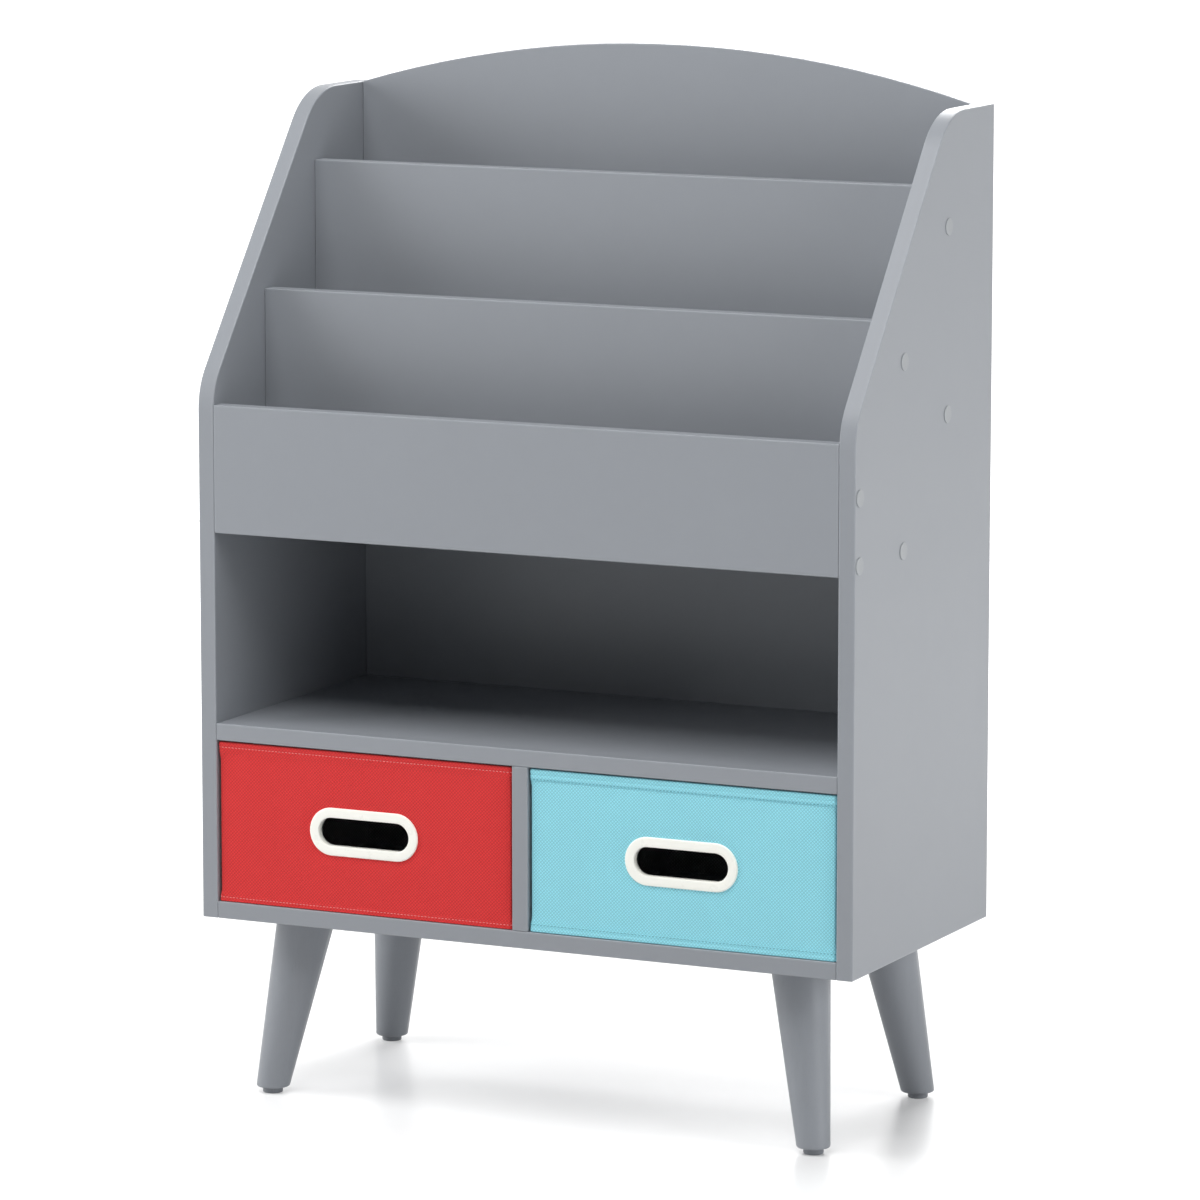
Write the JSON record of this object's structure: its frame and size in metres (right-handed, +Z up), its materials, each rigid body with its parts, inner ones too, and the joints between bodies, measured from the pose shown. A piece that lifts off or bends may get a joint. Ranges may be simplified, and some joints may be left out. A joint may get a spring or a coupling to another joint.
{
  "type": "children's bookshelf",
  "caption": "Children's bookshelf on splayed legs, with stepped face-out book pockets, an open shelf and sliding fabric bins.",
  "frame": {"origin": "on the floor, at the centre of the footprint", "axes": "+X to the right seen from the front, +Y from the front to the rear, +Z up"},
  "size_m": [0.6216, 0.296, 0.9149],
  "materials": {
    "painted_board": "satin grey paint on 15 mm fibreboard",
    "painted_leg": "satin grey paint on turned solid wood",
    "glide_plastic": "moulded grey plastic",
    "cap_plastic": "moulded light grey plastic",
    "screw_steel": "zinc plated",
    "cam_zinc": "die-cast zinc",
    "dowel_wood": "plain beech",
    "red_fabric": "embossed non-woven fabric",
    "aqua_fabric": "embossed non-woven fabric",
    "lining_fabric": "plain non-woven fabric",
    "stiffener_board": "grey pressed board",
    "handle_plastic": "ivory moulded plastic"
  },
  "bodies": {
    "cabinet": {"left_side_panel": "painted_board", "right_side_panel": "painted_board", "back_panel": "painted_board", "front_panel": "painted_board", "lower_tier_panel": "painted_board", "upper_tier_panel": "painted_board", "middle_shelf": "painted_board", "bottom_board": "painted_board", "centre_divider": "painted_board", "front_pocket_floor": "painted_board", "middle_pocket_floor": "painted_board", "rear_pocket_floor": "painted_board", "front_left_leg": "painted_leg", "front_right_leg": "painted_leg", "rear_left_leg": "painted_leg", "rear_right_leg": "painted_leg", "front_left_glide": "glide_plastic", "front_right_glide": "glide_plastic", "rear_left_glide": "glide_plastic", "rear_right_glide": "glide_plastic", "left_screw_caps": "cap_plastic", "right_screw_caps": "cap_plastic", "left_panel_screws": "screw_steel", "right_panel_screws": "screw_steel", "leg_bolts": "screw_steel", "leg_inserts": "screw_steel", "shelf_cam_discs": "cam_zinc", "shelf_cam_bolts": "screw_steel", "bottom_board_cam_discs": "cam_zinc", "bottom_board_cam_bolts": "screw_steel", "back_panel_cam_discs": "cam_zinc", "back_panel_cam_bolts": "screw_steel", "shelf_dowels": "dowel_wood", "bottom_board_dowels": "dowel_wood", "back_panel_dowels": "dowel_wood", "divider_dowels": "dowel_wood", "pocket_floor_dowels": "dowel_wood"},
    "red_bin": {"red_bin_cover": "red_fabric", "red_bin_lining": "lining_fabric", "red_bin_top_hem": "red_fabric", "red_bin_bottom_hem": "red_fabric", "red_bin_handle_ring": "handle_plastic", "red_bin_handle_backing_ring": "handle_plastic", "red_bin_front_board": "stiffener_board", "red_bin_back_board": "stiffener_board", "red_bin_left_board": "stiffener_board", "red_bin_right_board": "stiffener_board", "red_bin_base_board": "stiffener_board"},
    "aqua_bin": {"aqua_bin_cover": "aqua_fabric", "aqua_bin_lining": "lining_fabric", "aqua_bin_top_hem": "aqua_fabric", "aqua_bin_bottom_hem": "aqua_fabric", "aqua_bin_handle_ring": "handle_plastic", "aqua_bin_handle_backing_ring": "handle_plastic", "aqua_bin_front_board": "stiffener_board", "aqua_bin_back_board": "stiffener_board", "aqua_bin_left_board": "stiffener_board", "aqua_bin_right_board": "stiffener_board", "aqua_bin_base_board": "stiffener_board"}
  },
  "joints": [
    {"name": "red_bin_slide", "type": "slide", "parent": "cabinet", "child": "red_bin", "axis": [0, -1, 0], "range_m": [0, 0.27]},
    {"name": "aqua_bin_slide", "type": "slide", "parent": "cabinet", "child": "aqua_bin", "axis": [0, -1, 0], "range_m": [0, 0.27]}
  ]
}
